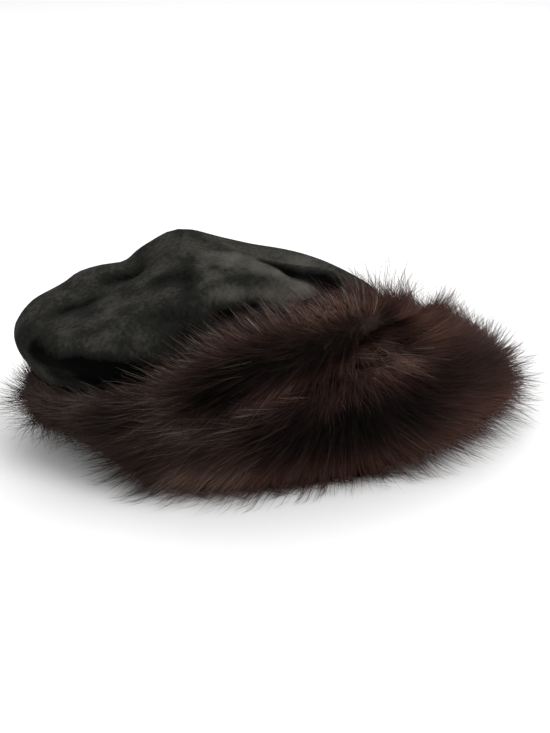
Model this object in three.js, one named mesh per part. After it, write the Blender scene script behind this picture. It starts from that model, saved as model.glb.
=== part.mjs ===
// A half hat: a draped velvet crown, open underneath, with two strips of long-haired fur sewn round it
// as a brim. Millimetres, +Z up. +X runs to the wide end of the brim, and -Y is the side that shows most.
import * as THREE from "three";

// Driving dimensions
const CROWN_WALL = 2.2; // velvet over its stiffened foundation cloth
const SEWN_GAP = 0.35; // between the crown and the fur, and between the two strips of fur
const PEAK = { x: -38, y: 11, z: 86 }; // the soft point of the crown
const FUR_DROP = 8; // how far the fur hangs below the crown's rim
const LOCK_LENGTH = 7; // how far a long lock's tip lies from where it leaves the body of the fur
const LOCK_OVERLAP = 1.7; // and over how many rows it may reach
const LOCK_LIFT = 2; // of a lock's tip off the body of the fur
const LOCK_HOLLOW = 1; // how deep the fur lies between its locks

// How finely each surface is divided
const COLUMNS = 64; // round the crown
const LOCK_COLUMNS = 2 * COLUMNS; // round the hair side of the fur
const LOCK_ROWS = 10; // up the hair side of each strip

// The heights at which every section of the crown is given, from the rim upwards. drift is how far the middle of
// that height has moved from the middle of the rim to the peak, and rows how many rows of faces lead up to it.
const LEVELS = [
  { name: "rim", drift: 0, rows: 0 },
  { name: "seam", drift: 0, rows: 4 },
  { name: "furTop", drift: 0, rows: 3 },
  { name: "belly", drift: 0, rows: 3 },
  { name: "shoulder", drift: 0.5, rows: 5 },
];
const PEAK_ROWS = 5;

// One row for each section of the crown, by its turn in degrees from +X towards +Y. Each pair is
// [distance from the middle of that height, height above the ground].
const SECTIONS = [
  { turn: 0, rim: [102, 11], seam: [76, 31], furTop: [52, 45], belly: [46, 58], shoulder: [40, 72] },
  { turn: 30, rim: [89, 9], seam: [71, 24], furTop: [60, 35], belly: [56, 45], shoulder: [42, 64] },
  { turn: 60, rim: [73, 7], seam: [70, 20], furTop: [66, 33], belly: [68, 45], shoulder: [46, 60] },
  { turn: 90, rim: [68, 6], seam: [68, 19], furTop: [67, 31], belly: [74, 46], shoulder: [48, 61] },
  { turn: 120, rim: [73, 7], seam: [74, 19], furTop: [73, 30], belly: [81, 45], shoulder: [54, 60] },
  { turn: 150, rim: [85, 13], seam: [87, 21], furTop: [88, 30], belly: [96, 43], shoulder: [66, 57] },
  { turn: 180, rim: [94, 16], seam: [97, 23], furTop: [102, 31], belly: [109, 49], shoulder: [81, 61] },
  { turn: 200, rim: [84, 16], seam: [86, 26], furTop: [91, 34], belly: [104, 52], shoulder: [74, 63] },
  { turn: 220, rim: [74, 6], seam: [75, 26], furTop: [77, 46], belly: [82, 60], shoulder: [56, 71] },
  { turn: 240, rim: [63, 6], seam: [64, 36], furTop: [64, 65], belly: [56, 74], shoulder: [42, 79] },
  { turn: 270, rim: [55, 6], seam: [57, 43], furTop: [53, 72], belly: [46, 78], shoulder: [34, 81] },
  { turn: 300, rim: [60, 9], seam: [56, 52], furTop: [48, 72], belly: [43, 78], shoulder: [34, 80] },
  { turn: 330, rim: [80, 11], seam: [62, 45], furTop: [50, 56], belly: [44, 67], shoulder: [38, 74] },
];

// Depth of the fur over the crown, and which way its hair lies: round is along the strip towards a greater turn,
// and up is towards the peak.
const LOWER_FUR = [
  { turn: 0, depth: 17, round: 0.3, up: -0.7 },
  { turn: 90, depth: 13, round: 0.5, up: -0.7 },
  { turn: 180, depth: 12, round: -0.7, up: -0.4 },
  { turn: 210, depth: 14, round: -0.9, up: -0.3 },
  { turn: 240, depth: 17, round: -0.4, up: -0.8 },
  { turn: 270, depth: 17, round: 0.4, up: -0.8 },
  { turn: 315, depth: 17, round: 0.6, up: -0.8 },
];
const UPPER_FUR = [
  { turn: 0, depth: 11, round: 0.5, up: 0.8 },
  { turn: 90, depth: 11, round: 0.5, up: 0.5 },
  { turn: 180, depth: 9, round: -0.8, up: 0.2 },
  { turn: 210, depth: 8, round: -0.8, up: 0.2 },
  { turn: 240, depth: 14, round: -0.8, up: 0.5 },
  { turn: 270, depth: 15, round: -0.6, up: 0.8 },
  { turn: 315, depth: 12, round: -0.2, up: 0.9 },
];

// Folds and dents of the drape, each a soft valley between two places seen from above. width and depth are given at
// both places, and a negative depth is a ridge.
const FOLDS = [
  { name: "crease behind the front panel", from: [-10, -8], to: [30, -27], width: [6, 10], depth: [1.5, 6] },
  { name: "edge of the front panel", from: [-14, -20], to: [18, -40], width: [8, 8], depth: [-1, -2] },
  { name: "tuck above the fur", from: [-50, -52], to: [-10, -50], width: [8, 6], depth: [3, 3] },
  { name: "slack to the left", from: [-92, -14], to: [-58, 0], width: [11, 9], depth: [2, 3.5] },
  { name: "slack at the back", from: [-10, 30], to: [8, 58], width: [12, 14], depth: [1, 3] },
];

const radians = THREE.MathUtils.degToRad;

// The value that read picks from the rows of a table, at any turn, on a smooth closed curve through those rows.
function atTurn(rows, turn, read) {
  const count = rows.length;
  const wrapped = THREE.MathUtils.euclideanModulo(turn, 360);
  let here = count - 1;
  while (rows[here].turn > wrapped) here -= 1;
  const place = (k) => {
    const lap = Math.floor(k / count);
    const row = rows[k - lap * count];
    return { turn: row.turn + 360 * lap, value: read(row) };
  };
  const [before, start, end, after] = [here - 1, here, here + 1, here + 2].map(place);
  const span = end.turn - start.turn;
  const x = (wrapped - start.turn) / span;
  const startSlope = (span * (end.value - before.value)) / (end.turn - before.turn);
  const endSlope = (span * (after.value - start.value)) / (after.turn - start.turn);
  return (
    start.value * (1 + 2 * x) * (1 - x) ** 2 +
    startSlope * x * (1 - x) ** 2 +
    end.value * x * x * (3 - 2 * x) -
    endSlope * x * x * (1 - x)
  );
}

// The crown before it is folded: height 0 is the rim, 1 the seam and so on through LEVELS, and the last is the peak.
function plainCrown(turn, height) {
  const points = LEVELS.map(({ name, drift }) => {
    const radius = atTurn(SECTIONS, turn, (row) => row[name][0]);
    const z = atTurn(SECTIONS, turn, (row) => row[name][1]);
    const x = PEAK.x * drift + radius * Math.cos(radians(turn));
    const y = PEAK.y * drift + radius * Math.sin(radians(turn));
    return new THREE.Vector3(x, y, z);
  });
  points.push(new THREE.Vector3(PEAK.x, PEAK.y, PEAK.z));
  return new THREE.CatmullRomCurve3(points, false, "centripetal").getPoint(height / LEVELS.length);
}

// Directions on a surface at a place: round the hat, up the surface, and out of it.
function directions(surface, turn, height) {
  const stepTurn = 1;
  const stepHeight = 0.02;
  const low = Math.max(0, height - stepHeight);
  const high = Math.min(LEVELS.length, height + stepHeight);
  const round = surface(turn + stepTurn, height).sub(surface(turn - stepTurn, height));
  const up = surface(turn, high).sub(surface(turn, low)).normalize();
  const out = round.clone().cross(up).normalize();
  return { round: round.normalize(), up, out };
}

// How deep the folds are at a point of the plain crown.
function foldDepth(point) {
  return FOLDS.reduce((sum, { from, to, width, depth }) => {
    const start = new THREE.Vector2(...from);
    const run = new THREE.Vector2(...to).sub(start);
    const away = new THREE.Vector2(point.x, point.y).sub(start);
    const along = THREE.MathUtils.clamp(away.dot(run) / run.lengthSq(), 0, 1);
    const distance = away.sub(run.multiplyScalar(along)).length();
    const [wide, deep] = [width, depth].map((ends) => THREE.MathUtils.lerp(ends[0], ends[1], along));
    return sum + deep * Math.exp(-((distance / wide) ** 2));
  }, 0);
}

// The crown's outside, folds and all.
function crown(turn, height) {
  const point = plainCrown(turn, height);
  const furTop = LEVELS.findIndex(({ name }) => name === "furTop");
  const fade = THREE.MathUtils.smoothstep(height, furTop, furTop + 1);
  if (fade === 0) return point;
  const { out } = directions(plainCrown, turn, Math.min(height, LEVELS.length - 0.05));
  return point.addScaledVector(out, -fade * foldDepth(point));
}

// Triangles of a closed ring of faces between two rows of points, which may have one point, the same number, or
// twice as many in the upper row. split says which way a face is cut in two.
function ring(lower, upper, split = () => false) {
  const faces = [];
  const step = upper.length / lower.length;
  for (let i = 0; i < lower.length; i += 1) {
    const [a, b] = [lower[i], lower[(i + 1) % lower.length]];
    if (upper.length === 1) {
      faces.push(a, b, upper[0]);
    } else if (step === 2) {
      const [d, m, c] = [0, 1, 2].map((k) => upper[(2 * i + k) % upper.length]);
      faces.push(a, b, m, a, m, d, b, c, m);
    } else {
      const [d, c] = [upper[i], upper[(i + 1) % upper.length]];
      if (split(i)) faces.push(a, b, d, b, c, d);
      else faces.push(a, b, c, a, c, d);
    }
  }
  return faces;
}

// The same triangles facing the other way.
function reversed(faces) {
  return faces.map((_, i) => faces[i - (i % 3) + [0, 2, 1][i % 3]]);
}

function meshOf(name, faces, material) {
  const geometry = new THREE.BufferGeometry().setFromPoints(faces);
  geometry.computeVertexNormals();
  const mesh = new THREE.Mesh(geometry, material);
  mesh.name = name;
  return mesh;
}

const turns = (count) => Array.from({ length: count }, (_, i) => (360 * i) / count);

// Heights of the rows of faces from one level to another.
function heights(first, last) {
  const rows = [...LEVELS.map((level) => level.rows), PEAK_ROWS];
  const list = [first];
  for (let level = first + 1; level <= last; level += 1) {
    for (let k = 1; k <= rows[level]; k += 1) list.push(level - 1 + k / rows[level]);
  }
  return list;
}

function makeCrown() {
  const peak = LEVELS.length;
  const all = heights(0, peak).slice(0, -1);
  const outside = all.map((h) => turns(COLUMNS).map((turn) => crown(turn, h)));
  const inside = all.map((h) =>
    turns(COLUMNS).map((turn) => {
      const { out } = directions(crown, turn, h);
      return crown(turn, h).addScaledVector(out, -CROWN_WALL);
    }),
  );
  const top = crown(0, peak);
  outside.push([top]);
  inside.push([top.clone().add(new THREE.Vector3(0, 0, -CROWN_WALL))]);
  const faces = [];
  for (let j = 0; j + 1 < outside.length; j += 1) {
    faces.push(...ring(outside[j], outside[j + 1]));
    faces.push(...reversed(ring(inside[j], inside[j + 1])));
  }
  faces.push(...ring(inside[0], outside[0]));
  const velvet = new THREE.MeshStandardMaterial({ color: 0x1d1d1b, roughness: 0.95, metalness: 0 });
  return meshOf("crown", faces, velvet);
}

// A number from 0 to 1 that looks random but is always the same for the same lock.
function scatter(i, j) {
  const x = Math.sin(i * 12.9898 + j * 78.233) * 43758.5453;
  return x - Math.floor(x);
}

// A strip of fur between two levels of the crown: a flat leather side against it, and a round hair side in locks.
// edges is how thick it still is at its lower and upper edge, as a share of its depth, and drop is how far its lower
// edge hangs down.
function makeFur({ name, from, to, table, edges, drop, color }) {
  const nudge = (h) => (h === from && from > 0 ? SEWN_GAP / 2 : h === to ? -SEWN_GAP / 2 : 0);
  const leather = heights(from, to).map((h) =>
    turns(COLUMNS).map((turn) => {
      const { out, up } = directions(plainCrown, turn, h);
      return plainCrown(turn, h).addScaledVector(out, SEWN_GAP).addScaledVector(up, nudge(h));
    }),
  );

  // The body of the fur, without its locks.
  const body = Array.from({ length: LOCK_ROWS + 1 }, (_, j) => {
    const s = j / LOCK_ROWS;
    const height = from + ((to - from) * (1 - Math.cos(Math.PI * s))) / 2;
    const thin = THREE.MathUtils.lerp(edges[0], edges[1], s);
    const bulge = thin + (1 - thin) * Math.sin(Math.PI * s) ** 0.6;
    const below = drop * (1 - THREE.MathUtils.smoothstep(s, 0.1, 0.45));
    return turns(LOCK_COLUMNS).map((turn) => {
      const { round, up, out } = directions(plainCrown, turn, height);
      const depth = atTurn(table, turn, (row) => row.depth);
      const point = plainCrown(turn, height).addScaledVector(up, nudge(height) - below);
      point.addScaledVector(out, SEWN_GAP + depth * bulge);
      return { point, round, up, out };
    });
  });

  // Every second point is the tip of a lock, which lies over the next row as far as it has room to.
  const hair = body.map((row, j) =>
    row.map(({ point, round, up, out }, i) => {
      const moved = point.clone();
      if (j > 0 && j < LOCK_ROWS) {
        const isTip = (i + j) % 2 === 0;
        const turn = (360 * i) / LOCK_COLUMNS;
        const [sweep, rise] = ["round", "up"].map((column) => atTurn(table, turn, (entry) => entry[column]));
        const toNextRows = [j - 1, j + 1].map((k) => point.distanceTo(body[k][i].point));
        const nearEdge = Math.cos((Math.PI * j) / LOCK_ROWS) ** 6;
        const room = Math.min(LOCK_LENGTH, LOCK_OVERLAP * Math.min(...toNextRows));
        const length = room * (1 - nearEdge) * (0.75 + 0.25 * scatter(i, j));
        const raised = isTip ? LOCK_LIFT : -LOCK_HOLLOW;
        if (isTip) moved.addScaledVector(round, sweep * length).addScaledVector(up, rise * length);
        moved.addScaledVector(out, (raised * length) / LOCK_LENGTH);
      }
      return moved.setZ(Math.max(0, moved.z));
    }),
  );
  const faces = [];
  for (let j = 0; j + 1 < leather.length; j += 1) faces.push(...reversed(ring(leather[j], leather[j + 1])));
  for (let j = 0; j < LOCK_ROWS; j += 1) faces.push(...ring(hair[j], hair[j + 1], (i) => (i + j) % 2 === 0));
  faces.push(...ring(leather[0], hair[0]));
  faces.push(...reversed(ring(leather.at(-1), hair.at(-1))));
  const fur = new THREE.MeshStandardMaterial({ color, roughness: 0.8, metalness: 0 });
  return meshOf(name, faces, fur);
}

const hat = new THREE.Group();
hat.add(makeCrown());
hat.add(
  makeFur({ name: "lower_fur", from: 0, to: 1, table: LOWER_FUR, edges: [0.1, 0.8], drop: FUR_DROP, color: 0x1f1613 }),
);
hat.add(
  makeFur({ name: "upper_fur", from: 1, to: 2, table: UPPER_FUR, edges: [0.8, 0.1], drop: 0, color: 0x291a17 }),
);

// The origin is the middle of the hat's own box, on the ground that it stands on.
const box = new THREE.Box3().setFromObject(hat);
const middle = box.getCenter(new THREE.Vector3());
hat.position.set(-middle.x, -middle.y, -box.min.z);

export default hat;
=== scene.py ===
"""A half hat: a draped black velvet crown with a wide brim of dark brown long-haired fur, on a pale floor."""

import math

import bmesh
import bpy
import numpy as np
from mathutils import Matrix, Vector, noise
from mathutils.bvhtree import BVHTree
from mathutils.kdtree import KDTree


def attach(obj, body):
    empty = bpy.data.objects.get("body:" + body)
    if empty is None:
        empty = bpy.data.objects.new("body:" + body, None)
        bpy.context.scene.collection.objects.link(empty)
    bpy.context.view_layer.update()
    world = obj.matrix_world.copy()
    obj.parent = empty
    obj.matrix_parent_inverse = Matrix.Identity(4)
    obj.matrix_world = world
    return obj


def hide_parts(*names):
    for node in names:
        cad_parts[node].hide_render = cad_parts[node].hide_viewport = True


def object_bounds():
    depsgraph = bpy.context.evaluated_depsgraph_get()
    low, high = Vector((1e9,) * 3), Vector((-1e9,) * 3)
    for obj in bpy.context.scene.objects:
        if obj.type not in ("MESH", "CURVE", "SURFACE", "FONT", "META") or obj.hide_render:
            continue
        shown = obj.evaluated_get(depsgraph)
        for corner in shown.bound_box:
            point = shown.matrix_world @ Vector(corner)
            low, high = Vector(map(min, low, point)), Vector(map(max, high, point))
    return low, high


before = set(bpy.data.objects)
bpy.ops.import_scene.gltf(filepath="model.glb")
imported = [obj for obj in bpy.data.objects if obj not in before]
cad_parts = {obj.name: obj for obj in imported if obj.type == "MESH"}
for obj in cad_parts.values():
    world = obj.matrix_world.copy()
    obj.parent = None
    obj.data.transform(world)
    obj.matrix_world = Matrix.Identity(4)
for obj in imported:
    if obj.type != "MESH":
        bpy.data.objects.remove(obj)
cad_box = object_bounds()


# Camera, at the photograph's angle: 22 degrees above the horizon, turned 12 degrees to the hat's left.
def aim(thing, place, target):
    thing.location = place
    thing.rotation_mode = "QUATERNION"
    thing.rotation_quaternion = (Vector(target) - Vector(place)).to_track_quat("-Z", "Y")


view_turn = math.radians(-12)
view_height = math.radians(22)
view_distance = 0.538
view_target = Vector((-0.0019, -0.0034, 0.0254))
backwards = Vector(
    (
        math.sin(view_turn) * math.cos(view_height),
        -math.cos(view_turn) * math.cos(view_height),
        math.sin(view_height),
    )
)
camera_data = bpy.data.cameras.new("camera")
camera_data.lens = 60
camera_data.sensor_width = 36
camera_data.clip_start = 0.01
camera = bpy.data.objects.new("camera", camera_data)
bpy.context.scene.collection.objects.link(camera)
aim(camera, view_target + backwards * view_distance, view_target)
bpy.context.scene.camera = camera


# Floor and light. A pale matt floor far wider than the hat, a white world as bright as the floor, and two
# wide soft lamps: one to the right of the camera and one over the back of the hat.
bpy.context.scene.view_settings.view_transform = "Standard"
bpy.ops.object.select_all(action="DESELECT")
bpy.ops.mesh.primitive_grid_add(x_subdivisions=4, y_subdivisions=4, size=8)
floor = bpy.context.object
floor.name = "floor"
floor_material = bpy.data.materials.new("floor")
floor_material.use_nodes = True
floor_shader = floor_material.node_tree.nodes["Principled BSDF"]
floor_shader.inputs["Base Color"].default_value = (0.84, 0.84, 0.84, 1)
floor_shader.inputs["Roughness"].default_value = 1.0
floor_shader.inputs["Specular IOR Level"].default_value = 0.0
floor.data.materials.append(floor_material)

world = bpy.data.worlds.new("world")
bpy.context.scene.world = world
world.use_nodes = True
world.node_tree.nodes["Background"].inputs["Color"].default_value = (1, 1, 1, 1)
world.node_tree.nodes["Background"].inputs["Strength"].default_value = 0.85

lamp_target = (0, 0, 0.04)
lamps = (
    # name, place, width, watts
    ("key", (0.8, -0.9, 1.7), 1.1, 22),
    ("back", (0.3, 1.2, 2.0), 1.4, 16),
)
for name, place, width, watts in lamps:
    lamp_data = bpy.data.lights.new(name, "AREA")
    lamp_data.size = width
    lamp_data.energy = watts
    lamp = bpy.data.objects.new(name, lamp_data)
    bpy.context.scene.collection.objects.link(lamp)
    aim(lamp, place, lamp_target)


# A soft copy of a CAD node: its loose triangles are merged, so that modifiers can round them.
def soft_copy(node, name):
    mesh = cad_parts[node].data.copy()
    piece = bpy.data.objects.new(name, mesh)
    bpy.context.scene.collection.objects.link(piece)
    mesh.materials.clear()
    work = bmesh.new()
    work.from_mesh(mesh)
    bmesh.ops.remove_doubles(work, verts=work.verts, dist=1e-6)
    work.to_mesh(mesh)
    work.free()
    return piece


def apply_modifier(piece, kind, **settings):
    modifier = piece.modifiers.new(kind, kind)
    for key, value in settings.items():
        setattr(modifier, key, value)
    bpy.ops.object.select_all(action="DESELECT")
    bpy.context.view_layer.objects.active = piece
    piece.select_set(True)
    bpy.ops.object.modifier_apply(modifier=modifier.name)


# Crown: one soft shell of black velvet over a stiffened foundation, draped to a soft peak, with its lower
# edge sewn inside the fur. Here it is a smoothed copy of the CAD shell, pushed into its smaller folds as soft
# cloth is by hand.
DRAPE_CENTRE = Vector((-0.025, 0, 0.025))  # folds are pushed to and from this place inside the hat
DRAPE = (
    # name, from, to, width and depth in millimetres; a negative depth is a ridge
    ("tuck under the slack end", (-101, -37, 44), (-62, -53, 44), 7, 3.6),
    ("roll of the slack end", (-101, -36, 57), (-70, -54, 59), 9, -0.9),
    ("valley down the left", (-86, -14, 66), (-60, -5, 76), 8, 1.6),
    ("dent over the left", (-66, 14, 74), (-64, -4, 76), 6, 2.6),
    ("hump over the left", (-82, 8, 69), (-76, -2, 71), 7, -1.6),
    ("dent at the far left", (-93, 8, 65), (-90, -6, 67), 5, 1.6),
    ("dip along the fur", (-52, -54, 61), (-16, -53, 73), 6, 2.2),
    ("ridge over the dip", (-44, -46, 73), (-12, -45, 80), 6, -1.2),
    ("end of the slack", (-108, -14, 54), (-108, 8, 54), 16, -1.8),
    ("back lobe", (4, -2, 77), (16, -4, 73), 9, -1.2),
    ("crease behind the panel", (-11, -27, 82), (-2, -41, 81), 2.5, 1.8),
    ("wide end of the crease", (-2, -41, 81), (13, -48, 76), 5, 2.6),
    ("edge of the panel", (-18, -34, 82), (2, -53, 76), 4, -1.1),
    ("slack fold at the back", (-34, 34, 72), (-22, 66, 52), 7, 1.6),
    ("second fold at the back", (-62, 28, 68), (-78, 52, 50), 8, 1.4),
    ("roll between the back folds", (-50, 34, 70), (-52, 64, 50), 9, -0.9),
)
MM = 1000  # in a metre, because folds and marks are charted in millimetres
SOFT_BUMPS = ((0.034, 0.0009), (0.012, 0.0003))  # size and height of the velvet's unevenness all over
CRUMPLED = ((-30, -28, 81), (-10, -40, 80), 15)  # the crumpled panel near the peak: from, to and width
CRUMPLE_SIZE = 0.0055
CRUMPLE_HEIGHT = 0.0007
FOLDS_FROM = 0.03  # the height at which the folds set in, over SET_IN
PEAK_FROM = 0.06  # and that of the peak's own shape
SET_IN = 0.012
PEAK_SPOT = (-0.0402, 0.0078)
PEAK_LIFT = 0.0032  # by which the cloth round the peak stands higher, over PEAK_SPREAD
PEAK_SPREAD = 0.013
PEAK_ROUND = 0.005  # radius over which its point is rounded
PEAK_SLOPE = 0.5  # of the cloth on the way to the point

crown = soft_copy("crown", "velvet_crown")
bpy.context.view_layer.objects.active = crown
crown.select_set(True)
bpy.ops.object.mode_set(mode="EDIT")
bpy.ops.mesh.select_all(action="SELECT")
bpy.ops.mesh.tris_convert_to_quads(face_threshold=math.radians(60), shape_threshold=math.radians(60))
bpy.ops.object.mode_set(mode="OBJECT")
apply_modifier(crown, "SUBSURF", levels=2, render_levels=2)
crown.data.shade_smooth()


# How near points are to a line between two places, as 1 on it and falling away over the width.
def nearness(points, start, end, width):
    start, run = np.array(start), np.array(end) - np.array(start)
    along = np.clip((points - start) @ run / (run @ run), 0, 1)
    return np.exp(-((np.linalg.norm(points - start - along[:, None] * run, axis=1) / width) ** 2))


points = np.empty(len(crown.data.vertices) * 3)
crown.data.vertices.foreach_get("co", points)
points = points.reshape(-1, 3)
outward = points - np.array(DRAPE_CENTRE)
outward /= np.linalg.norm(outward, axis=1, keepdims=True)
push = np.zeros(len(points))
for _, start, end, width, depth in DRAPE:
    push -= depth / MM * nearness(points * MM, start, end, width)
for size, height in SOFT_BUMPS:
    push += height * np.array([noise.noise(Vector(point) / size) for point in points])
crumples = np.array([noise.noise(Vector(point) / CRUMPLE_SIZE) for point in points])
push += CRUMPLE_HEIGHT * nearness(points * MM, *CRUMPLED) * crumples
above_fur = np.clip((points[:, 2] - FOLDS_FROM) / SET_IN, 0, 1)
from_peak = np.hypot(points[:, 0] - PEAK_SPOT[0], points[:, 1] - PEAK_SPOT[1])
high = np.clip((points[:, 2] - PEAK_FROM) / SET_IN, 0, 1)
by_peak = np.exp(-((from_peak / PEAK_SPREAD) ** 2))
lift = (PEAK_LIFT - PEAK_SLOPE * (np.hypot(from_peak, PEAK_ROUND) - from_peak)) * by_peak
nap_and_light_points = points.copy()
points += outward * (push * above_fur)[:, None]
points[:, 2] += lift * high
crown.data.vertices.foreach_set("co", points.ravel())
crown.data.update()

# The nap and painted light: where the pile lies so that it looks darker or lighter, as hands and wear have
# left it, together with painted shade under the slack end, in the crease, in the dips and by the fur, and
# painted highlights on the lit panel, its edge, the ridges and the back lobe.
NAP_AND_PAINTED_LIGHT = (
    # name, from, to, width in millimetres and shade
    ("under the slack end", (-86, -48, 47), (-63, -53, 43), 7, -1.5),
    ("far left under the slack end", (-103, -33, 50), (-90, -46, 49), 3.5, -0.6),
    ("left end of the crown", (-108, -20, 55), (-104, -32, 54), 8, -0.25),
    ("dip along the fur", (-34, -54, 70), (-18, -53, 73), 4, -0.62),
    ("shade by the fur", (-58, -54, 60), (-36, -54, 68), 5, -0.15),
    ("crushed on the left", (-91, -16, 64), (-82, -16, 67), 4.5, -0.4),
    ("crushed over the left", (-73, -5, 72), (-61, -4, 74), 3.5, -0.4),
    ("left of the middle", (-89, -8, 66), (-83, -28, 66), 6, -0.13),
    ("over the slack end", (-104, -33, 54), (-99, -37, 55), 5, -0.18),
    ("crushed in the middle", (-62, -47, 69), (-49, -49, 69), 4, -0.22),
    ("crushed below the peak", (-54, -28, 77), (-42, -32, 79), 5, -0.4),
    ("streak below the peak", (-40, -18, 81), (-44, -40, 76), 3, -0.2),
    ("crumpled on the panel", (-26, -42, 79), (-12, -45, 78), 4, -0.2),
    ("behind the panel", (-20, -35, 81), (-12, -38, 81), 3.5, -0.22),
    ("panel by the fur", (-15, -53, 74), (-4, -55, 74), 4, 0.25),
    ("in the crease", (-11, -27, 82), (-2, -41, 81), 2.5, -0.7),
    ("in the wide end of the crease", (-1, -43, 80), (15, -49, 76), 4.5, -0.7),
    ("lit panel", (-34, -30, 81), (-14, -30, 82), 7, 0.3),
    ("lit edge of the panel", (-16, -36, 81), (3, -54, 75), 4, 0.42),
    ("lit ridge over the dip", (-36, -48, 75), (-14, -50, 76), 3, 0.38),
    ("lit beside the peak", (-31, -19, 84), (-22, -22, 83), 4, 0.3),
    ("crushed on the lit panel", (-33, -31, 81), (-28, -34, 81), 3, -0.26),
    ("crushed above the dip", (-46, -46, 74), (-35, -48, 74), 4, -0.12),
    ("crushed by the fur", (-48, -53, 63), (-43, -53, 65), 3, -0.2),
    ("lit back lobe", (6, -12, 75), (16, -34, 77), 7, 0.3),
    ("lower lip of the slack end", (-99, -33, 42), (-80, -47, 41), 4, -0.3),
    ("crushed at the back", (-60, 40, 62), (-36, 52, 60), 9, -0.25),
    ("in the fold at the back", (-34, 34, 72), (-22, 66, 52), 6, -0.3),
)
COVERED = 0.001  # the gap under the fur, where the velvet never sees light and is painted in full shade
COVERED_SHADE = -1

shade = np.zeros(len(points))
for _, start, end, width, amount in NAP_AND_PAINTED_LIGHT:
    shade += amount * nearness(nap_and_light_points * MM, start, end, width)
for node in ("lower_fur", "upper_fur"):
    strip = BVHTree.FromObject(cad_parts[node], bpy.context.evaluated_depsgraph_get())
    shade[[strip.find_nearest(point)[3] < COVERED for point in points]] = COVERED_SHADE
crown.data.attributes.new("nap_and_painted_light", "FLOAT", "POINT").data.foreach_set("value", shade)


def node_of(tree, kind, **settings):
    made = tree.nodes.new(kind)
    for key, value in settings.items():
        if key in made.bl_rna.properties:
            setattr(made, key, value)
        else:
            made.inputs[key.replace("_", " ")].default_value = value
    return made


def math_of(tree, operation, *values):
    made = node_of(tree, "ShaderNodeMath", operation=operation)
    for socket, value in zip(made.inputs, values):
        if isinstance(value, bpy.types.NodeSocket):
            tree.links.new(value, socket)
        else:
            socket.default_value = value
    return made.outputs["Value"]


# Velvet: cloudy marks and fine brush strokes over the charted nap with its painted shade and painted
# highlights, and the pile itself as a fine bump.
CLOUD_STRENGTH = 0.8
CLOUD_BASE = 0.13
STROKE_STRENGTH = 0.5

velvet = bpy.data.materials.new("velvet")
velvet.use_nodes = True
tree = velvet.node_tree
shader = tree.nodes["Principled BSDF"]
place = node_of(tree, "ShaderNodeTexCoord")
clouds = node_of(tree, "ShaderNodeTexNoise", Scale=75.0, Detail=5.0, Roughness=0.56, Distortion=0.3)
tree.links.new(place.outputs["Object"], clouds.inputs["Vector"])
slant = node_of(tree, "ShaderNodeMapping", Rotation=(0.3, 0.9, 0.5), Scale=(650.0, 650.0, 380.0))
tree.links.new(place.outputs["Object"], slant.inputs["Vector"])
strokes = node_of(tree, "ShaderNodeTexNoise", Scale=1.0, Detail=3.0, Roughness=0.6)
tree.links.new(slant.outputs["Vector"], strokes.inputs["Vector"])
# the charted nap, with painted shade in folds and creases and painted highlights on lit ridges
nap_and_painted_light = node_of(tree, "ShaderNodeAttribute", attribute_name="nap_and_painted_light")
marks = math_of(tree, "MULTIPLY_ADD", clouds.outputs["Fac"], CLOUD_STRENGTH, CLOUD_BASE)
brushed = math_of(tree, "MULTIPLY_ADD", strokes.outputs["Fac"], STROKE_STRENGTH, -STROKE_STRENGTH / 2)
marks = math_of(tree, "ADD", marks, brushed)
marks = math_of(tree, "ADD", marks, nap_and_painted_light.outputs["Fac"])
velvet_blacks = (
    (0.0, (0.0012, 0.0012, 0.0013)),
    (0.45, (0.013, 0.013, 0.0115)),
    (1.0, (0.07, 0.066, 0.056)),
)


def ramp_of(tree, colours):
    ramp = node_of(tree, "ShaderNodeValToRGB")
    elements = ramp.color_ramp.elements
    for position, _ in colours[1:-1]:
        elements.new(position)
    for element, (position, colour) in zip(elements, colours):
        element.position = position
        element.color = (*colour, 1)
    return ramp


shades = ramp_of(tree, velvet_blacks)
tree.links.new(marks, shades.inputs["Fac"])
tree.links.new(shades.outputs["Color"], shader.inputs["Base Color"])
shader.inputs["Roughness"].default_value = 0.95
shader.inputs["Specular IOR Level"].default_value = 0.01
shader.inputs["Sheen Weight"].default_value = 0.01
shader.inputs["Sheen Roughness"].default_value = 0.5
shader.inputs["Sheen Tint"].default_value = (0.8, 0.78, 0.72, 1)
pile = node_of(tree, "ShaderNodeTexNoise", Scale=1400.0, Detail=2.0)
tree.links.new(place.outputs["Object"], pile.inputs["Vector"])
bump = node_of(tree, "ShaderNodeBump", Strength=0.35, Distance=0.0004)
tree.links.new(pile.outputs["Fac"], bump.inputs["Height"])
tree.links.new(bump.outputs["Normal"], shader.inputs["Normal"])
crown.data.materials.append(velvet)
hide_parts("crown")
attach(crown, "root")

# Fur: two strips of long dark brown fur on their leather, sewn one above the other round the crown as a brim.
# Each strip is a woolly body that follows the CAD solid, and its hair is joined meshes of fine flat strands:
# short underfur, and longer guard hairs that stand out of it.
HAIR_PIECES = {"lower_fur": 3, "upper_fur": 2}
STRANDS = 35000  # in each piece of hair
HAIR_KINDS = (
    # stand is how much each of a hair's three stretches leans outwards, gather how far it joins its wisp at
    # the tip, trim how fully it takes the strip's cut, and share its share of all hairs
    {
        "name": "underfur",
        "length": (0.008, 0.012),
        "width": (0.00016, 0.00028),
        "stand": (1.0, 0.6, 0.3),
        "gather": 0.12,
        "trim": 1,
        "share": 0.64,
    },
    {
        "name": "guard hair",
        "length": (0.013, 0.02),
        "width": (0.00012, 0.0002),
        "stand": (1.1, 0.8, 0.5),
        "gather": 0.35,
        "trim": 0.5,
        "share": 0.26,
    },
    {
        "name": "long guard hair",
        "length": (0.021, 0.034),
        "width": (0.00012, 0.0002),
        "stand": (1.2, 1.0, 0.8),
        "gather": 0.4,
        "trim": 0.45,
        "share": 0.1,
    },
)
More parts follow.
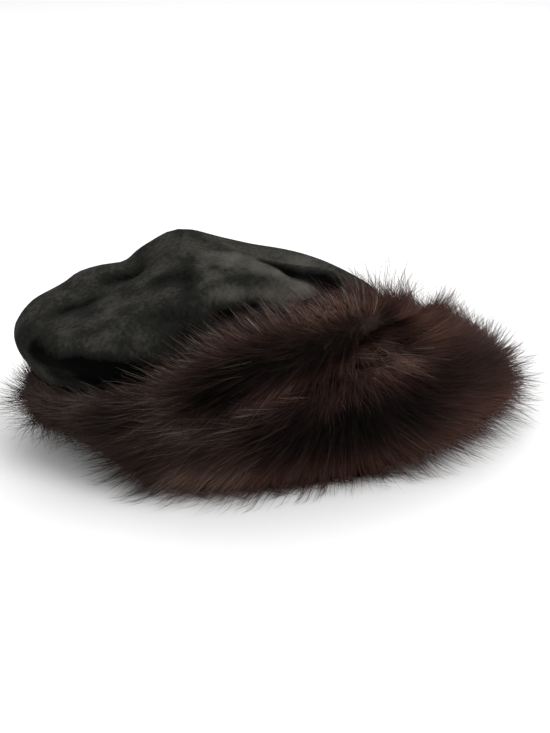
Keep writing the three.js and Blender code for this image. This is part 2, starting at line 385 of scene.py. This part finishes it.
KIND_NAMES = [kind["name"] for kind in HAIR_KINDS]
FLOOR_GAP = 0.0004  # under the lowest hair
REACH = (0.0145, 0.0125)  # the most by which hair stands out past the solid hat's length and width
PEAK = np.array((-0.041, 0.008, 0.12))  # the way up a strip is the way to this place over the peak
WHORL = ((-2, -75, 42), (26, -70, 44))  # the way, in millimetres, along which the hair parts and lies tousled
WHORL_WIDTH = 15
random = np.random.default_rng(5)  # seeded, so that every run grows the same hair

# How the hair lies, by turn from +X towards +Y in degrees. The four values, at the strip's lower and upper
# edge, are how far it runs round the hat towards a greater turn, how far it runs up, how far it stands off,
# and its length as a share of the full length, which a kind's trim turns into less of a cut.
COMB = {
    "lower_fur": (
        {"turn": 0, "low": (0.2, -0.5, 1.3, 0.75), "high": (0.3, 0.4, 0.35, 0.35)},
        {"turn": 90, "low": (0.5, -0.8, 0.9, 1.0), "high": (0.5, 0.2, 0.9, 1.0)},
        {"turn": 180, "low": (-0.3, -0.3, 0.9, 0.55), "high": (-0.5, 0.1, 0.8, 0.6)},
        {"turn": 195, "low": (-0.8, 0.3, 0.3, 0.25), "high": (-0.8, 0.1, 0.8, 0.6)},
        {"turn": 207, "low": (-1.0, 0.6, 0.2, 0.25), "high": (-1.0, 0.0, 0.5, 0.4)},
        {"turn": 225, "low": (-0.8, -0.6, 0.7, 0.8), "high": (-1.0, -0.3, 0.6, 0.55)},
        {"turn": 240, "low": (-0.8, -0.6, 0.8, 0.9), "high": (-1.0, 0.3, 0.6, 0.9)},
        {"turn": 254, "low": (-0.7, -0.5, 0.9, 0.9), "high": (-1.0, 0.5, 0.5, 0.9)},
        {"turn": 266, "low": (-0.5, -0.6, 0.9, 1.0), "high": (-1.0, 0.3, 0.5, 0.9)},
        {"turn": 276, "low": (-0.3, -0.6, 0.9, 1.0), "high": (-0.9, -0.4, 0.6, 0.9)},
        {"turn": 287, "low": (0.0, -0.6, 1.0, 1.0), "high": (-0.35, -0.9, 0.6, 0.9)},
        {"turn": 296, "low": (0.3, -0.5, 1.1, 1.0), "high": (0.3, -0.9, 0.6, 0.9)},
        {"turn": 307, "low": (0.4, -0.5, 1.2, 0.8), "high": (0.8, -0.4, 0.5, 0.9)},
        {"turn": 320, "low": (0.3, -0.5, 1.3, 0.65), "high": (0.8, -0.1, 0.8, 0.8)},
        {"turn": 340, "low": (0.4, -0.6, 1.3, 0.65), "high": (0.6, 0.1, 0.3, 0.4)},
    ),
    "upper_fur": (
        {"turn": 0, "low": (0.4, 0.0, 0.5, 0.7), "high": (0.4, 0.8, 0.5, 0.5)},
        {"turn": 90, "low": (0.5, -0.1, 0.9, 1.0), "high": (0.5, 0.6, 0.8, 0.8)},
        {"turn": 180, "low": (-0.5, 0.0, 0.8, 0.7), "high": (-0.6, 0.4, 0.7, 0.6)},
        {"turn": 210, "low": (-1.0, -0.1, 0.8, 1.0), "high": (-0.9, 0.3, 0.7, 0.6)},
        {"turn": 235, "low": (-1.0, 0.0, 0.7, 1.0), "high": (-0.6, 0.8, 0.9, 0.3)},
        {"turn": 265, "low": (-0.9, -0.3, 0.5, 1.2), "high": (-0.45, 0.9, 0.9, 0.2)},
        {"turn": 275, "low": (-0.65, -0.75, 0.4, 1.4), "high": (-0.4, 1.0, 0.9, 0.25)},
        {"turn": 285, "low": (-0.15, -1.0, 0.4, 1.4), "high": (-0.35, 1.0, 0.9, 0.3)},
        {"turn": 295, "low": (0.4, -0.9, 0.4, 1.4), "high": (-0.3, 1.0, 0.9, 0.35)},
        {"turn": 306, "low": (0.85, -0.5, 0.4, 1.2), "high": (-0.1, 1.0, 0.8, 0.4)},
        {"turn": 322, "low": (0.7, -0.1, 0.5, 0.7), "high": (0.2, 1.0, 0.8, 0.5)},
        {"turn": 340, "low": (0.6, 0.0, 0.4, 0.6), "high": (0.3, 0.8, 0.5, 0.4)},
    ),
}

# The broad marks in the fur, partly the pelt's own banding and partly painted light: painted shade in the
# dark stripes where the hair parts, in the dark middle and in corners, and painted light on the lower edge,
# the tuft and the pale edge by the velvet. Each gives the places that it runs through in millimetres, its
# width, and what it adds to the tone and to the warmth of the hair.
FUR_MARKS_AND_PAINTED_LIGHT = (
    ("dark middle", ((-44, -72, 34), (30, -68, 38)), 22, -0.09, 0.0),
    ("upper stripe", ((-38, -72, 47), (-24, -74, 57), (-8, -75, 60), (13, -71, 60)), 8.5, -0.47, -0.15),
    ("upper stripe, right", ((13, -68, 62), (24, -59, 64), (35, -53, 66), (44, -46, 69)), 5.5, -0.47, -0.1),
    ("upper stripe, left", ((-50, -71, 43), (-40, -73, 41)), 7, -0.28, -0.15),
    ("lower stripe", ((-22, -75, 27), (-7, -77, 24), (22, -73, 25)), 8.5, -0.35, -0.15),
    ("lower stripe, right", ((10, -75, 22), (46, -67, 26)), 11, -0.31, -0.15),
    ("dark below the lower stripe", ((-22, -77, 18), (24, -73, 13)), 7, -0.1, 0.0),
    ("dark above the ridge", ((-19, -78, 49), (-10, -77, 50), (0, -76, 51)), 4.5, -0.22, 0.0),
    ("dark corner at the left", ((-84, -48, 28), (-73, -58, 28)), 7, -0.22, -0.1),
    ("dark right end", ((66, -54, 42), (90, -36, 36)), 13, -0.2, 0.0),
    ("seam ridge", ((-35, -75, 36), (-27, -76, 39), (-18, -77, 42), (-11, -76, 44)), 4.5, 0.34, 0.1),
    ("right end of the ridge", ((12, -74, 48), (24, -71, 49)), 6, 0.25, 0.1),
    ("light tuft", ((18, -71, 55), (30, -68, 54), (40, -65, 49)), 5.5, 0.35, 0.0),
    ("warm slope below the tuft", ((32, -71, 45), (42, -65, 39)), 6, 0.08, 0.15),
    ("dark left of the slope", ((15, -73, 38), (28, -70, 39)), 6, -0.2, 0.0),
    ("dark left of the upper stripe", ((-42, -71, 52), (-28, -76, 54)), 5, -0.18, 0.0),
    ("light at the left", ((-66, -60, 40), (-64, -68, 34), (-57, -73, 27)), 6, 0.13, 0.0),
    ("dark in the middle of the left", ((-48, -72, 39), (-45, -73, 33)), 5, -0.06, 0.0),
    ("dark spot beside the tuft", ((42, -57, 61), (44, -62, 52)), 5.5, -0.34, 0.0),
    ("light right of the tuft", ((43, -64, 46), (46, -64, 41)), 4, 0.15, 0.0),
    ("right of the lower stripe", ((42, -67, 32), (58, -60, 33)), 9, -0.2, 0.0),
    ("left of the lower stripe", ((-14, -78, 36), (-4, -78, 33)), 6, -0.2, -0.1),
    ("grey middle of the left", ((-57, -69, 38), (-54, -72, 30), (-42, -76, 27)), 6, 0.13, -0.15),
    ("warm place", ((42, -47, 67), (54, -54, 60)), 8, 0.25, 0.3),
    ("lower edge", ((-60, -69, 7), (-50, -74, 6), (-36, -78, 6)), 7, 0.42, 0.2),
    ("right of the lower edge", ((-26, -75, 5), (35, -71, 6), (73, -58, 15), (98, -38, 20)), 5, 0.22, 0.2),
    ("edge by the velvet", ((-62, -58, 44), (-52, -66, 55), (-22, -71, 71), (11, -64, 76)), 4, 0.22, 0.15),
    ("below the edge by the velvet", ((-12, -72, 67), (-3, -70, 68)), 4, 0.22, 0.0),
    ("pale edge by the velvet", ((2, -68, 70), (17, -62, 71), (30, -57, 72)), 6, 0.26, 0.0),
    ("dark at the lower left", ((-77, -55, 22), (-65, -64, 11)), 8, -0.2, 0.0),
    ("left end of the fur", ((-106, -20, 26), (-97, -38, 28), (-86, -46, 35)), 8, 0.22, 0.0),
)
GREY_AND_LIT_GUARDS = (
    # the share of guard hairs with grey tips near each way, which is given as above; the pale tips are partly
    # the hair's own grey and partly painted highlight where tips catch the light, most of all by the velvet
    (0.32, ((-75, -60, 30), (-45, -74, 32), (-20, -77, 32)), 12),
    (0.55, ((-75, -53, 44), (-52, -62, 60), (-22, -66, 75), (11, -60, 81), (28, -56, 81)), 6),
    (0.35, ((26, -70, 54), (44, -64, 51)), 5),
)


def unit(vectors):
    return vectors / np.maximum(np.linalg.norm(vectors, axis=1, keepdims=True), 1e-12)


def dots(a, b):
    return (a * b).sum(axis=1)


def bell(value, middle, width):
    return np.exp(-(((value - middle) / width) ** 2))


def ramp_up(value, start, end):
    share = np.clip((value - start) / (end - start), 0, 1)
    return share * share * (3 - 2 * share)


def turn_of(points):
    return np.degrees(np.arctan2(points[:, 1], points[:, 0])) % 360


def comb_at(node, turn, level):
    rows = COMB[node]
    at = [row["turn"] for row in rows]
    low, high = (
        np.stack([np.interp(turn, at, [row[edge][k] for row in rows], period=360) for k in range(4)], axis=1)
        for edge in ("low", "high")
    )
    return (low + (high - low) * level[:, None]).T


def mesh_arrays(piece):
    mesh = piece.data
    mesh.calc_loop_triangles()
    points = np.empty(len(mesh.vertices) * 3)
    mesh.vertices.foreach_get("co", points)
    normals = np.empty(len(mesh.vertices) * 3)
    mesh.vertices.foreach_get("normal", normals)
    triangles = np.empty(len(mesh.loop_triangles) * 3, np.int64)
    mesh.loop_triangles.foreach_get("vertices", triangles)
    return points.reshape(-1, 3), normals.reshape(-1, 3), triangles.reshape(-1, 3)


crown_tree = BVHTree.FromObject(crown, bpy.context.evaluated_depsgraph_get())


# How far points are from the crown, and the way out of it there.
def from_crown(points):
    found = [crown_tree.find_nearest(point) for point in points]
    return np.array([hit[3] for hit in found]), np.array([hit[1] for hit in found])


LOCKS_SMOOTHED = 5  # rounds of smoothing that take the locks away
THIN_BODY = 0.002  # a body is drawn in by DRAWN_SHARE of what is over this, and by DRAWN_MOST at most
DRAWN_SHARE = 0.5
DRAWN_MOST = 0.004


# The woolly body of a strip: its CAD solid with the locks smoothed away, drawn in to leave room for the hair.
def make_body(node, name):
    body = soft_copy(node, name)
    apply_modifier(body, "SMOOTH", iterations=LOCKS_SMOOTHED, factor=0.5)
    points, normals, _ = mesh_arrays(body)
    depth, _ = from_crown(points)
    points -= normals * np.clip((depth - THIN_BODY) * DRAWN_SHARE, 0, DRAWN_MOST)[:, None]
    points[:, 2] = np.maximum(points[:, 2], FLOOR_GAP)
    body.data.vertices.foreach_set("co", points.ravel())
    body.data.update()
    body.data.shade_smooth()
    return body


BARE = 0.0018  # a strip thinner than this is its leather and grows no hair
THIN = 0.006  # below this depth the roots stand closer, over THINNING up to 1 + CROWDING times as close
THINNING = 0.004
CROWDING = 2.5


# Roots spread over the hair side of a body, closer together by the seams, and the way out at each.
def sow(body, count):
    points, normals, triangles = mesh_arrays(body)
    corners = points[triangles]
    area = np.linalg.norm(np.cross(corners[:, 1] - corners[:, 0], corners[:, 2] - corners[:, 0]), axis=1)
    depth, _ = from_crown(corners.mean(axis=1))
    area[depth < BARE] = 0
    area *= 1 + CROWDING * np.clip((THIN - depth) / THINNING, 0, 1)
    chosen = random.choice(len(area), count, p=area / area.sum())
    a, b = random.random((2, count))
    over = a + b > 1
    a[over], b[over] = 1 - a[over], 1 - b[over]
    weights = np.stack([1 - a - b, a, b], axis=1)[:, :, None]
    return (corners[chosen] * weights).sum(axis=1), unit((normals[triangles[chosen]] * weights).sum(axis=1))


SLOT = 5  # degrees of turn over which a strip is measured
MOST_ROOTS = 0.9  # the share of roots that lie no deeper than what counts as the strip's whole depth
LEAST_HEIGHT = 0.002


# The heights of a strip's lower and upper edge and its whole depth, at any turn, and from them how high in
# the strip points are: 0 at its lower edge and 1 at its upper edge.
def strip_limits(roots, depth):
    slots = np.arange(0, 360, SLOT)
    slot = (turn_of(roots) // SLOT).astype(int)
    height = roots[:, 2]
    lowest = [height[slot == k].min() for k in range(len(slots))]
    highest = [height[slot == k].max() for k in range(len(slots))]
    whole = [np.quantile(depth[slot == k], MOST_ROOTS) for k in range(len(slots))]
    return lambda turn: [
        np.interp(turn, slots + SLOT / 2, limit, period=360) for limit in (lowest, highest, whole)
    ]


def level_of(points, limits):
    low, high, _ = limits(turn_of(points))
    return np.clip((points[:, 2] - low) / np.maximum(high - low, LEAST_HEIGHT), 0, 1)


# How near points are to a way through several places, as 1 on it and falling away over the width.
def nearness_to_way(points, way, width):
    return np.max([nearness(points, start, end, width) for start, end in zip(way, way[1:])], axis=0)


KNOTS = np.array((0, 0.4, 0.75, 1))  # how far along a strand the points of its spine are


# Places on spines, at shares of their length.
def on_spine(spine, share):
    row = np.clip(np.searchsorted(KNOTS, share, side="right") - 1, 0, 2)
    rest = (share - KNOTS[row]) / (KNOTS[row + 1] - KNOTS[row])
    strand = np.arange(len(spine))[:, None]
    return spine[strand, row] + (spine[strand, row + 1] - spine[strand, row]) * rest[:, :, None]


SEAM_LEVELS = {"lower_fur": (0.6, 0.95), "upper_fur": (0.4, 0.05)}  # where a strip passes into the seam
SEAM_TURN = 0.6  # the share by which hair at the seam stands off the crown and not off its strip
SEAM_FILL = 0.8  # of the strip's missing depth that hair at the seam makes up for
FIRST_FILL = 0.6  # of it at the first point after the root
SEAM_LOOSENESS = 0.8  # by which hair at the seam draws together less
WISP = 30  # hairs
WISP_LEAN = 0.17  # how far the wisps lean this way and that, and how much more so at the whorl
WHORL_LEAN = 0.15
HAIR_LEAN = 0.1  # the same of single hairs
WHORL_TRIM = 0.35  # by which hair at the whorl is shorter
FULL_LENGTH_DEPTH = 0.009  # hair is shorter where the strip is less deep, and SHORTEST at the least
SHORTEST = 0.5
STAND_RANGE = (0.7, 1.2)  # from hair to hair
ROOT_DEPTH = 0.001  # of a root in its body
PULL = np.array((0, 0.25, 0.65, 1.0))  # the gathering of a wisp at the points of a spine
FLOOR_SCATTER = 0.0012  # by which hairs pressed on the floor lie at different heights


# The strands' spines, four points each, from the root to the tip.
def comb_out(node, roots, out, kind):
    count = len(roots)
    turn = turn_of(roots)
    depth, off_crown = from_crown(roots)
    limits = strip_limits(roots, depth)
    level, full = level_of(roots, limits), limits(turn)[2]
    seam = ramp_up(level, *SEAM_LEVELS[node])
    out = unit(out * (1 - SEAM_TURN * seam)[:, None] + off_crown * (SEAM_TURN * seam)[:, None])
    sweep, rise, lift, share_of_length = comb_at(node, turn, level)
    towards = unit(PEAK - roots)
    up = unit(towards - out * dots(towards, out)[:, None])
    lie = unit(np.cross(up, out) * sweep[:, None] + up * rise[:, None])

    # Strands of one wisp lean the same way and draw together towards its middle strand, a long guard hair.
    wisps = count // WISP
    long_guards = np.nonzero(kind == KIND_NAMES.index("long guard hair"))[0]
    middles = random.choice(long_guards, wisps, replace=False)
    tree = KDTree(wisps)
    for k, middle in enumerate(middles):
        tree.insert(roots[middle], k)
    tree.balance()
    wisp = np.array([tree.find(root)[1] for root in roots])
    tousled = nearness_to_way(roots * MM, WHORL, WHORL_WIDTH)
    lean = (WISP_LEAN + WHORL_LEAN * tousled)[:, None]
    lie += lean * random.normal(0, 1, (wisps, 3))[wisp] + random.normal(0, HAIR_LEAN, (count, 3))
    lie = unit(lie)
    lie = unit(lie - out * dots(lie, out)[:, None])

    length = np.choose(kind, [random.uniform(*row["length"], count) for row in HAIR_KINDS])
    length *= share_of_length ** np.array([row["trim"] for row in HAIR_KINDS])[kind]
    length *= np.clip((depth + seam * full) / FULL_LENGTH_DEPTH, SHORTEST, 1) * (1 - WHORL_TRIM * tousled)
    stand = np.array([row["stand"] for row in HAIR_KINDS])[kind]
    stand = stand * (lift * random.uniform(*STAND_RANGE, count))[:, None]
    fill = off_crown * (np.maximum(full - depth, 0) * seam * SEAM_FILL)[:, None]
    spine = np.empty((count, 4, 3))
    spine[:, 0] = roots - out * ROOT_DEPTH
    for row in (1, 2, 3):
        heading = unit(lie + out * stand[:, row - 1][:, None])
        spine[:, row] = spine[:, row - 1] + heading * (length * (KNOTS[row] - KNOTS[row - 1]))[:, None]
    spine[:, 1] += fill * FIRST_FILL
    spine[:, 2:] += fill[:, None]
    gather = np.array([row["gather"] for row in HAIR_KINDS])[kind] * (1 - SEAM_LOOSENESS * seam)
    beside = (length / length[middles][wisp])[:, None] * KNOTS  # shares of the middle strand's length
    pull = PULL[None, :, None] * gather[:, None, None]
    spine += (on_spine(spine[middles][wisp], beside) - spine) * pull
    spine[:, :, 2] = np.maximum(spine[:, :, 2], FLOOR_GAP + random.uniform(0, FLOOR_SCATTER, (count, 1)))
    for axis, reach in enumerate(REACH):
        spine[:, :, axis] = np.clip(spine[:, :, axis], cad_box[0][axis] - reach, cad_box[1][axis] + reach)
    return spine, lie, out, level, level_of(spine[:, 2], limits), wisp


VELVET_GAP = 0.0006  # between the velvet and the hair that lies over it
VELVET_STEP = 0.0003  # by which each next point of a strand lies higher over it
NEAR_CROWN = 0.02  # hair further inside than this is left as it is


# Hair with a point in the crown's wall, or too near the velvet, is laid over the velvet instead. Hair that
# passes right through the wall into the hollow isn't caught: about 2 in 100 strands, seen only from below.
def clear_of_crown(spine, chosen):
    for k in np.nonzero(chosen)[0]:
        for row in (1, 2, 3):
            place, normal, _, distance = crown_tree.find_nearest(spine[k, row])
            if (Vector(spine[k, row]) - place).dot(normal) < VELVET_GAP and distance < NEAR_CROWN:
                spine[k, row] = place + normal * (VELVET_GAP + VELVET_STEP * row)


TONE = 0.52  # of the fur at large, where 0 is the darkest and 1 the lightest
# The turns are in degrees, with their reach to each side, and level and width are shares of a strip's height.
FAR_STRIPE = {"turn": 90, "reach": 110, "level": 0.5, "width": 0.22, "darker": 0.22}
LEFT_END = {"turn": 205, "reach": 60, "warmth": 0.3}
WARMER = 0.55  # by which the rest of the fur is warmer than the left end
WISP_TONES = 0.032  # how much tone differs from wisp to wisp, and tone and warmth from hair to hair
HAIR_TONES = 0.036
HAIR_WARMTHS = 0.08
GREY_ANYWHERE = 0.012  # the share of guard hairs with grey tips away from the places in the table above
GREY_LIGHTER = (0.1, 0.32)
GREY_WARMTH = 0.2


# Tone, from dark to light, and warmth, from greyish to reddish, of strands by the place where they show. The
# left end is greyer, and the far side has a plain dark stripe down each strip, partly painted shade where the
# hair parts. The marks add the pelt's own banding together with painted shade and painted light. Grey guard
# hairs are thickest by the velvet, where their pale tips are partly painted highlight.
def colour_of(places, level, kind, wisp):
    count = len(places)
    turn = turn_of(places)
    far = np.clip(1 - np.abs(turn - FAR_STRIPE["turn"]) / FAR_STRIPE["reach"], 0, 1) ** 0.5
    from_left = np.clip(np.abs((turn - LEFT_END["turn"] + 180) % 360 - 180) / LEFT_END["reach"], 0, 1)
    tone = TONE - FAR_STRIPE["darker"] * far * bell(level, FAR_STRIPE["level"], FAR_STRIPE["width"])
    warmth = LEFT_END["warmth"] + WARMER * from_left
    # the marks: the pelt's banding together with painted shade and painted light
    for _, way, width, lighter, warmer in FUR_MARKS_AND_PAINTED_LIGHT:
        near = nearness_to_way(places * MM, way, width)
        tone += lighter * near
        warmth += warmer * near
    tone += random.normal(0, WISP_TONES, wisp.max() + 1)[wisp] + random.normal(0, HAIR_TONES, count)
    warmth += random.normal(0, HAIR_WARMTHS, count)
    grey_by_place = [share * nearness_to_way(places * MM, way, width) for share, way, width in GREY_AND_LIT_GUARDS]
    grey_share = GREY_ANYWHERE + np.max(grey_by_place, axis=0)
    grey = (random.random(count) < grey_share) & (kind != KIND_NAMES.index("underfur"))
    tone = np.where(grey, tone + random.uniform(*GREY_LIGHTER, count), tone)
    return np.clip(tone, 0, 1), np.where(grey, GREY_WARMTH, np.clip(warmth, 0, 1))


TAPER = (0.8, 1.0, 0.7)  # a ribbon's width at the spine's first three points, as a share; the tip is a point
RIBBON_POINTS = 7  # two at each of those three and one at the tip
RIBBON_FACES = np.array((0, 1, 3, 2, 2, 3, 5, 4, 4, 5, 6))  # two four-sided and one three-sided
FACE_SIDES = (4, 4, 3)
CELL_MARGIN = 0.1  # round a strand in its cell of the map


# Strands as one mesh of flat ribbons that taper to their tips. The attributes carry how far along the strand
# a point is, its tone, its warmth, and the way the fur faces there. OFBake is a map with a cell for each
# strand.
def strand_mesh(name, spine, side, width, tone, warmth, facing):
    count = len(spine)
    points = np.empty((count, RIBBON_POINTS, 3))
    for row, taper in enumerate(TAPER):
        half = side * (width * taper / 2)[:, None]
        points[:, 2 * row] = spine[:, row] - half
        points[:, 2 * row + 1] = spine[:, row] + half
    points[:, -1] = spine[:, -1]
    corners = ((np.arange(count) * RIBBON_POINTS)[:, None] + RIBBON_FACES).ravel()
    first_corners = np.cumsum((0, *FACE_SIDES[:-1]))
    starts = ((np.arange(count) * len(RIBBON_FACES))[:, None] + first_corners).ravel()
    mesh = bpy.data.meshes.new(name)
    mesh.vertices.add(count * RIBBON_POINTS)
    mesh.vertices.foreach_set("co", points.ravel())
    mesh.loops.add(len(corners))
    mesh.loops.foreach_set("vertex_index", corners)
    mesh.polygons.add(len(starts))
    mesh.polygons.foreach_set("loop_start", starts)
    mesh.polygons.foreach_set("loop_total", np.tile(FACE_SIDES, count))
    mesh.update(calc_edges=True)
    mesh.validate()
    mesh.shade_smooth()

    along = np.repeat(KNOTS, (2, 2, 2, 1))
    across = np.array((0.2, 0.8) * 3 + (0.5,))
    each = [np.tile(along, count), np.repeat(tone, RIBBON_POINTS), np.repeat(warmth, RIBBON_POINTS)]
    values = np.stack(each, axis=1)
    facing = np.repeat(facing, RIBBON_POINTS, axis=0)
    for attribute, data in (("strand", values), ("facing", facing)):
        mesh.attributes.new(attribute, "FLOAT_VECTOR", "POINT").data.foreach_set("vector", data.ravel())
    mesh.normals_split_custom_set_from_vertices(facing)
    columns = math.ceil(math.sqrt(count * 3))  # three times the rows, as a strand is long
    rows = math.ceil(count / columns)
    cell = np.stack([np.arange(count) % columns, np.arange(count) // columns], axis=1)[:, None, :]
    up_the_cell = CELL_MARGIN + (1 - 2 * CELL_MARGIN) * along
    inside = np.stack([across, up_the_cell], axis=1)[RIBBON_FACES][None]
    bake_map = mesh.uv_layers.new(name="OFBake")
    bake_map.uv.foreach_set("vector", ((cell + inside) / (columns, rows)).ravel())

    piece = bpy.data.objects.new(name, mesh)
    bpy.context.scene.collection.objects.link(piece)
    return piece


BY_VELVET = {"lower_fur": 0.9, "upper_fur": 0.4}  # the level from which hair may touch the crown
FACING_LEAN = 0.25  # how far the fur faces along its lie
FACING_SCATTER = 0.12


def grow(node, body, pieces):
    count = pieces * STRANDS
    roots, out = sow(body, count)
    kind = random.choice(len(HAIR_KINDS), count, p=[row["share"] for row in HAIR_KINDS])
    spine, lie, out, level, tip_level, wisp = comb_out(node, roots, out, kind)
    clear_of_crown(spine, level > BY_VELVET[node])
    tone, warmth = colour_of(spine[:, 2], tip_level, kind, wisp)
    width = np.choose(kind, [random.uniform(*row["width"], count) for row in HAIR_KINDS])
    side = unit(np.cross(lie, random.normal(0, 1, (count, 3))))
    side[dots(np.cross(side, lie), out) < 0] *= -1
    facing = unit(out + lie * FACING_LEAN + random.normal(0, FACING_SCATTER, (count, 3)))
    made = []
    for k in range(pieces):
        part = slice(k * STRANDS, (k + 1) * STRANDS)
        name = node.replace("fur", f"hair_{k + 1}")
        values = [array[part] for array in (spine, side, width, tone, warmth, facing)]
        made.append(strand_mesh(name, *values))
    return made


# Hair: a soft low shine, darker at the root than at the tip, which is painted shade deep in the fur, in
# greyish and reddish browns that warmth mixes.
hair_finish = bpy.data.materials.new("hair")
hair_finish.use_nodes = True
tree = hair_finish.node_tree
shader = tree.nodes["Principled BSDF"]
strand = node_of(tree, "ShaderNodeAttribute", attribute_name="strand")
parts = node_of(tree, "ShaderNodeSeparateXYZ")
tree.links.new(strand.outputs["Vector"], parts.inputs["Vector"])
greyish = (
    (0.0, (0.0025, 0.0023, 0.0019)),
    (0.3, (0.01, 0.0083, 0.0072)),
    (0.6, (0.036, 0.03, 0.027)),
    (1, (0.19, 0.17, 0.16)),
)
reddish = (
    (0.0, (0.0028, 0.0018, 0.0014)),
    (0.3, (0.0145, 0.006, 0.0051)),
    (0.6, (0.059, 0.0258, 0.0188)),
    (1, (0.23, 0.128, 0.096)),
)
by_warmth = node_of(tree, "ShaderNodeMix", data_type="RGBA")
tree.links.new(parts.outputs["Z"], by_warmth.inputs["Factor"])
for socket, colours in (("A", greyish), ("B", reddish)):
    ramp = ramp_of(tree, colours)
    tree.links.new(parts.outputs["Y"], ramp.inputs["Fac"])
    tree.links.new(ramp.outputs["Color"], by_warmth.inputs[socket])
# painted shade: strands darker towards the root, where the fur shades itself
painted_root_shade = node_of(tree, "ShaderNodeMapRange")
painted_root_shade.inputs["To Min"].default_value = 0.6
painted_root_shade.inputs["To Max"].default_value = 1.25
tree.links.new(parts.outputs["X"], painted_root_shade.inputs["Value"])
shaded = node_of(tree, "ShaderNodeVectorMath", operation="SCALE")
tree.links.new(by_warmth.outputs["Result"], shaded.inputs[0])
tree.links.new(painted_root_shade.outputs["Result"], shaded.inputs["Scale"])
tree.links.new(shaded.outputs["Vector"], shader.inputs["Base Color"])
faces_to = node_of(tree, "ShaderNodeAttribute", attribute_name="facing")
tree.links.new(faces_to.outputs["Vector"], shader.inputs["Normal"])
shader.inputs["Roughness"].default_value = 0.5
shader.inputs["Specular IOR Level"].default_value = 0.05

# Wool: the dense matt underfur between the hairs, in a dark brown that varies from tuft to tuft.
wool = bpy.data.materials.new("wool")
wool.use_nodes = True
tree = wool.node_tree
shader = tree.nodes["Principled BSDF"]
place = node_of(tree, "ShaderNodeTexCoord")
tufts = node_of(tree, "ShaderNodeTexNoise", Scale=420.0, Detail=3.0)
tree.links.new(place.outputs["Object"], tufts.inputs["Vector"])
colour = node_of(tree, "ShaderNodeMix", data_type="RGBA")
colour.inputs["A"].default_value = (0.014, 0.009, 0.0075, 1)
colour.inputs["B"].default_value = (0.036, 0.022, 0.018, 1)
tree.links.new(tufts.outputs["Fac"], colour.inputs["Factor"])
tree.links.new(colour.outputs["Result"], shader.inputs["Base Color"])
bump = node_of(tree, "ShaderNodeBump", Strength=0.8, Distance=0.001)
tree.links.new(tufts.outputs["Fac"], bump.inputs["Height"])
tree.links.new(bump.outputs["Normal"], shader.inputs["Normal"])
shader.inputs["Roughness"].default_value = 1.0
shader.inputs["Specular IOR Level"].default_value = 0.05

for node, pieces in HAIR_PIECES.items():
    body = make_body(node, node.replace("fur", "wool"))
    body.data.materials.append(wool)
    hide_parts(node)
    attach(body, "root")
    for hair in grow(node, body, pieces):
        hair.data.materials.append(hair_finish)
        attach(hair, "root")
